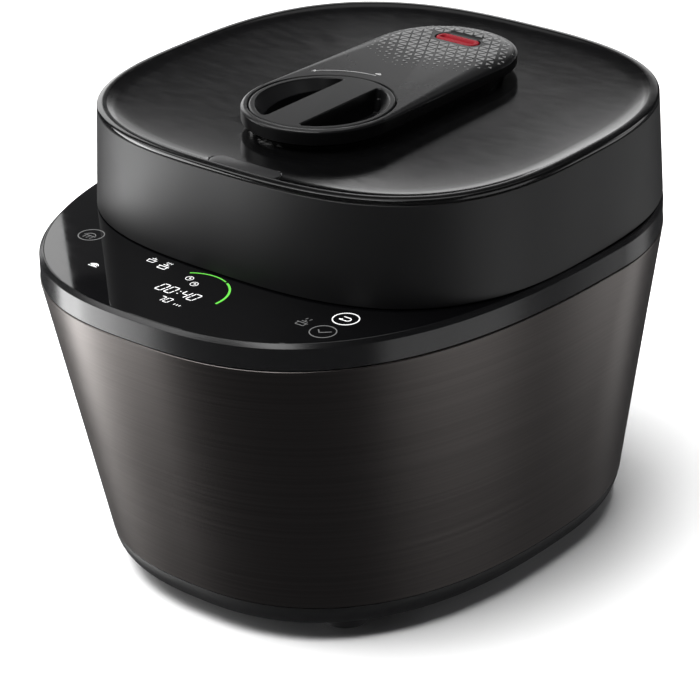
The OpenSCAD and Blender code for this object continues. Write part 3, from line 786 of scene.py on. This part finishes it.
def make_bezel():
    """The black ring round the top panel."""
    base = LID_TOP - 2.4
    outer_r = 1.3
    profile = [(-0.25, base), (0.0, base + 0.25)]
    profile += arc((-outer_r, PANEL_TOP - outer_r - 0.25), (outer_r, outer_r), 10, 80, 6)
    profile += [(-RIM_W + 0.5, PANEL_TOP), (-RIM_W + 0.1, PANEL_TOP - 0.1), (-RIM_W, PANEL_TOP - 0.5)]
    profile += [(-RIM_W, base)]
    bezel = profile_skin("lid_bezel", LID, profile, closed=True, smooth_angle=50)
    place(bezel, GLOSS_RIM, "lid", "gloss_black", "lid_rim")


def dish_height(share):
    """Height of the top panel; share is 0 at its middle and 1 at the rim."""
    bowl_depth = 3.0
    lip_height = 1.2
    lip_start = 0.93
    into_lip = max(0.0, (share - lip_start) / (1 - lip_start))
    return PANEL_FLOOR + bowl_depth * share ** 4 + lip_height * into_lip ** 2.2


def make_dish():
    """The gloss top panel: a shallow bowl whose edge turns up to the bezel."""
    edge = LID.ring(-RIM_W - 0.06, 0)
    middle_y = LID.mid + 3
    under = PANEL_FLOOR - 2.4

    def scaled(share, z):
        return [(share * x, middle_y + share * (y - middle_y), z) for x, y, _ in edge]

    # Shares of the way out to the rim, closer together where the edge turns up
    shares = (0.12, 0.3, 0.45, 0.6, 0.7, 0.78, 0.84, 0.89, 0.93, 0.95, 0.965, 0.98, 0.99, 1.0)
    rings = [scaled(share, dish_height(share)) for share in shares]
    rings += [scaled(1.0, under + 2), scaled(0.98, under)]
    rings.reverse()
    dish = skin("lid_dish", rings)
    button_hole = bar_hole(49, 13.4, BUTTON, under - 2, PANEL_TOP + 3)
    carve(dish, [knob_hole(40, under - 2, PANEL_TOP), button_hole])
    place(dish, GLOSS_LID, "lid", "gloss_black", "lid_panel")


def make_plinth():
    """The pod's narrower foot, with three steam slots at its rear."""
    profile = [
        (PLINTH_R, PANEL_FLOOR),
        (PLINTH_R, PANEL_FLOOR + 3.2),
        (PLINTH_R - 0.5, PANEL_FLOOR + 3.6),
        (PLINTH_R - 0.5, SHELL_BOTTOM - 0.6),
        (PLINTH_R - 0.9, SHELL_BOTTOM),
    ]
    plinth = skin("pod_foot", [stadium(r, KNOB_Y, POD_REAR_Y - 5, z) for r, z in profile])
    cutters = [knob_hole(39.5, PANEL_FLOOR - 3, SHELL_BOTTOM + 3)]
    for x in (-12, 0, 12):
        cutters.append(block("steam", (x - 3, 100, PANEL_FLOOR + 1), (x + 3, 130, PANEL_FLOOR + 4)))
    carve(plinth, cutters)
    place(plinth, GLOSS_RIM, "lid", "black_plastic", "pod_plinth")


def pod_round(y):
    """The radius of the pod's upper edge: small beside the dial's hole, larger behind it."""
    largest = 13.0
    behind = max(0.0, y - KNOB_Y)
    hole = math.sqrt(max(0.0, DIAL_HOLE_R ** 2 - behind ** 2))
    return min(largest, 0.6 * (POD_R - hole))


def pod_inset(x, y):
    """How far a place on the pod lies inside the pod's outline."""
    behind = max(0.0, y - POD_REAR_Y)
    ahead = min(0.0, y - KNOB_Y)
    return POD_R - math.hypot(x, behind + ahead)


def pod_height(x, y):
    """Height of the pod's surface at a place inside its outline."""
    radius = pod_round(y)
    inset = min(radius, max(0.0, pod_inset(x, y)))
    rise = math.sqrt(1 - (1 - inset / radius) ** 2)
    return POD_TOP - min(radius, POD_DROP) * (1 - rise)


def pod_ring(angle, sink=0.0, whole=False):
    """One level of the pod's upper edge; the angle is 0 on the wall and 90 on the top face.

    A whole ring keeps the full outline of the pod.
    """
    t = math.radians(angle)
    ring = []
    for x, y, _ in stadium(POD_R, KNOB_Y, POD_REAR_Y, 0):
        centre_y = min(max(y, KNOB_Y), POD_REAR_Y)
        radius = pod_round(y)
        inset = 0.0 if whole else radius * (1 - math.cos(t))
        shrink = (POD_R - inset) / POD_R
        z = POD_TOP - min(radius, POD_DROP) * (1 - math.sin(t)) - sink
        ring.append((x * shrink, centre_y + (y - centre_y) * shrink, z))
    return ring


def make_pod():
    """The pod's cover: a low wall, a crisp edge, and a top that rounds off more towards the rear."""
    crease = 22
    rings = []
    for inset, z in ((1.2, SHELL_BOTTOM), (0.25, SHELL_BOTTOM + 0.3), (0.0, SHELL_BOTTOM + 0.8)):
        rings.append(stadium(POD_R - inset, KNOB_Y, POD_REAR_Y, z))
    rings.append(pod_ring(crease, sink=0.3, whole=True))
    rings += [pod_ring(crease + (90 - crease) * k / 10) for k in range(11)]
    pod = skin("pod_cover", rings, smooth_angle=60)
    low, high = SHELL_BOTTOM - 2, POD_TOP + 2
    cap_hole = bar_hole(31.6, 11.6, (0, INDICATOR_Y), low, high)
    carve(pod, [knob_hole(DIAL_HOLE_R, low, high), cap_hole])
    place(pod, SATIN_POD, "lid", "black_plastic", "pod_shell")


def hollow_ring(side, reach, radius, chord, corner, z):
    """One level of a finger hollow: a half moon that reaches this far from the knob's axis."""
    shift = reach - radius
    moon = half_moon(radius, chord - shift, corner, z)
    return [(side * (x + shift), KNOB_Y + side * y, h) for x, y, h in moon]


def make_dial():
    """The lock knob: a flush ring and grip bar with a half-moon finger hollow on each side."""
    stem_r = 39
    profile = (
        (stem_r, 261),
        (stem_r, 268.2),
        (KNOB_R - 0.6, 269.2),
        (KNOB_R - 0.3, 269.6),
        (KNOB_R - 0.3, POD_TOP - 1.3),
        (KNOB_R - 0.5, POD_TOP - 0.8),
        (KNOB_R - 1.1, POD_TOP - 0.2),
        (KNOB_R - 1.8, POD_TOP),
    )
    dial = skin("lock_dial", [circle(radius, z, (0, KNOB_Y)) for radius, z in profile])
    # Reach, radius, chord, corner and height: a steep inner wall, an edge, then a slope
    # that is widest beside the grip bar's middle
    levels = (
        (28.6, 43.6, 13.4, 2.6, 263.8),
        (29.2, 44.2, 13.0, 2.4, 264.6),
        (30.0, 45.0, 12.6, 2.2, 271.4),
        (30.5, 45.2, 12.5, 2.2, 271.9),
        (37.8, 37.8, 12.1, 2.2, POD_TOP - 0.9),
        (38.2, 38.2, 11.8, 2.4, POD_TOP - 0.25),
        (38.9, 38.9, 11.2, 2.8, POD_TOP + 0.2),
    )
    hollows = [skin("hollow", [hollow_ring(side, *level) for level in levels]) for side in (1, -1)]
    carve(dial, hollows)
    place(dial, SATIN_KNOB, "lock_knob", "black_plastic", "knob")


def make_button():
    """The release button: a low bar along the front of the bezel."""
    top = PANEL_TOP - 1.4
    layers = ((48.0, 12.4, 259.0), (48.0, 12.4, top - 0.6), (47.5, 11.9, top - 0.15), (46.6, 11.0, top))
    button = skin("lid_button", [bar(length, width, BUTTON, z) for length, width, z in layers])
    place(button, SATIN_BUTTON, "button", "black_plastic", "release_button")


def make_float_cap():
    """The red head of the float, with a shallow groove along its top."""
    extra_length = 20
    layers = (
        (10, 271.0),
        (10, POD_TOP - 0.9),
        (9.5, POD_TOP - 0.2),
        (8.4, POD_TOP + 0.2),
        (5.2, POD_TOP + 0.2),
        (4.2, POD_TOP - 0.4),
        (3.4, POD_TOP - 1.4),
    )
    rings = [bar(width + extra_length, width, (0, INDICATOR_Y), z) for width, z in layers]
    cap = skin("float_cap", rings)
    place(cap, RED, "indicator", "red_plastic", "pressure_indicator")


def triangle(centre, size, up):
    """The corners of a triangle, anticlockwise; size is the distance from its centre to a corner."""
    corners = []
    for k in range(3):
        t = math.radians((90 if up else -90) + 120 * k)
        corners.append((centre[0] + size * math.cos(t), centre[1] + size * math.sin(t)))
    return corners


def make_triangles():
    """A lattice of small triangles that fades away from the float towards the knob."""
    marks = Marks(pod_height)
    front_y = 18.8
    side = 7.08
    row = side * math.sqrt(3) / 2
    for j in range(17):
        for i in range(-13, 14):
            up = (i + j) % 2 == 0
            x = i * side / 2
            y = front_y + j * row + (row / 3 if up else 2 * row / 3)
            margin = pod_inset(x, y) - 2.0
            by_float = math.hypot(max(0.0, abs(x) - 10), y - INDICATOR_Y) < 8.8
            if margin < 0 or by_float:
                continue
            fade_in = (y - 31 - 0.45 * abs(x + 4)) / 34
            fade_out = 0.3 + margin / 16
            size = side * 0.42 * min(1.0, fade_in, fade_out)
            if size > 0.35:
                marks.polygon(triangle((x, y), size, up))
    marks.make("pod_pattern", PRINT, "lid", "black_plastic")


def make_lock_scale():
    """The printed arc beside the knob, with a small padlock at each of its ends."""
    marks = Marks(pod_height)
    marks.arc((0, KNOB_Y), 49.6, 91, 137, 0.5)
    for x, y in ((-1.2, 20.6), (-35.9, 3.6)):
        marks.stroke((x - 1.3, y), (x + 1.3, y), 1.2)
        marks.arc((x, y + 0.7), 0.9, 0, 180, 0.4, 12)
    marks.make("lock_scale", PRINT_WHITE, "lid", "black_plastic")


# ---------------------------------------------------------------- stage


def make_floor():
    """A pale floor that takes the light and the object's shadow."""
    size = 6.0
    mesh = bpy.data.meshes.new("floor")
    corners = [(-size, -size, 0), (size, -size, 0), (size, size, 0), (-size, size, 0)]
    mesh.from_pydata(corners, [], [(0, 1, 2, 3)])
    floor = bpy.data.objects.new("floor", mesh)
    bpy.context.scene.collection.objects.link(floor)
    n = Nodes("pale_floor")
    soft = n.noise(3)
    tone = n.mix(n.span(soft, 0, 1), (0.86, 0.86, 0.86), (0.88, 0.88, 0.88))
    paint(floor, n.finish(tone, n.span(soft, 0.7, 0.75), Specular_IOR_Level=0.2))
    floor.visible_glossy = False
    floor.visible_shadow = False
    return floor


def softbox(name, azimuth, elevation, distance, width, height, radiance, aim=(0, 0, 0.15)):
    """A rectangular light at an azimuth and elevation in degrees, with the radiance of its face."""
    light = bpy.data.lights.new(name, "AREA")
    light.shape = "RECTANGLE"
    light.size = width
    light.size_y = height
    light.energy = radiance * math.pi * width * height
    lamp = bpy.data.objects.new(name, light)
    a, e = math.radians(azimuth), math.radians(elevation)
    out = Vector((math.cos(a) * math.cos(e), math.sin(a) * math.cos(e), math.sin(e)))
    lamp.location = Vector(aim) + out * distance
    lamp.rotation_euler = (-out).to_track_quat("-Z", "Y").to_euler()
    bpy.context.scene.collection.objects.link(lamp)
    return lamp


def only_on(lamp, piece):
    """Lets a light fall on one object alone."""
    lit_group = bpy.data.collections.new(lamp.name + "_lights")
    lit_group.objects.link(piece)
    lamp.light_linking.receiver_collection = lit_group


def make_lights(floor):
    """The softboxes: azimuth, elevation, distance, width, height, radiance."""
    only_on(softbox("floor_box", 225, 79, 3.0, 2.8, 2.8, 9.0, (0, 0, 0)), floor)
    softbox("top_box", 150, 78, 2.4, 1.8, 1.8, 1.2)
    softbox("upper_left", 215, 46, 2.2, 1.4, 1.1, 2.8)
    softbox("rear_high", 125, 54, 2.4, 1.8, 0.9, 0.4)
    softbox("front_high", 262, 62, 2.2, 1.6, 0.5, 6.0)
    softbox("left_strip", 200, -18, 2.0, 0.6, 1.1, 6.2)
    softbox("left_wide", 218, -17, 2.0, 0.8, 1.1, 5.2)
    softbox("left_high", 208, 10, 2.0, 1.1, 0.6, 3.4)
    softbox("front_wide", 10, -18, 2.0, 1.6, 1.2, 0.95)
    softbox("right_strip", 64, -17, 2.0, 0.8, 1.1, 0.85)
    softbox("right_high", 62, 8, 2.0, 0.6, 0.6, 2.2)
    softbox("back_left", 154, 15, 2.6, 1.2, 1.5, 2.1)
    # The light behind the lid fades upwards in steps and is weaker on its left side
    strips = ((10.0, 0.80, 1.6), (20.0, 0.09, 0.8), (22.0, 0.09, 0.35), (24.4, 0.13, 0.1))
    for name, azimuth, share in (("back_right", 120.5, 1.0), ("back_middle", 137.5, 0.55)):
        for elevation, height, radiance in strips:
            softbox(f"{name}_{elevation:.0f}", azimuth, elevation, 2.6, 0.78, height, radiance * share)
    world = bpy.data.worlds.new("studio")
    world.use_nodes = True
    world.node_tree.nodes["Background"].inputs["Color"].default_value = (0.04, 0.04, 0.042, 1)
    bpy.context.scene.world = world


def make_camera():
    """The camera: where it stands, and the way it looks as yaw, pitch and roll."""
    position = Vector((1.00064, -1.20887, 0.86819))
    yaw = math.radians(39.907)
    pitch = math.radians(25.802)
    roll = math.radians(-1.435)
    level = math.cos(pitch)
    forward = Vector((-math.sin(yaw) * level, math.cos(yaw) * level, -math.sin(pitch)))
    right = Vector((math.cos(yaw), math.sin(yaw), 0))
    up = right.cross(forward)
    right_rolled = right * math.cos(roll) + up * math.sin(roll)
    up_rolled = up * math.cos(roll) - right * math.sin(roll)
    data = bpy.data.cameras.new("camera")
    data.sensor_width = 36
    data.lens = 150.34
    camera = bpy.data.objects.new("camera", data)
    turn = Matrix((right_rolled, up_rolled, -forward)).transposed()
    camera.matrix_world = Matrix.Translation(position) @ turn.to_4x4()
    bpy.context.scene.collection.objects.link(camera)
    bpy.context.scene.camera = camera


paint_carried_nodes()
make_tub()
make_wrap()
make_collar()
make_glass()
make_springs()
make_digits()
make_progress_arc()
make_back_key()
make_dim_keys()
make_small_icon()
make_skirt()
make_bezel()
make_dish()
make_plinth()
make_pod()
make_dial()
make_button()
make_float_cap()
make_triangles()
make_lock_scale()
make_lights(make_floor())
make_camera()
bpy.context.scene.view_settings.view_transform = "Standard"
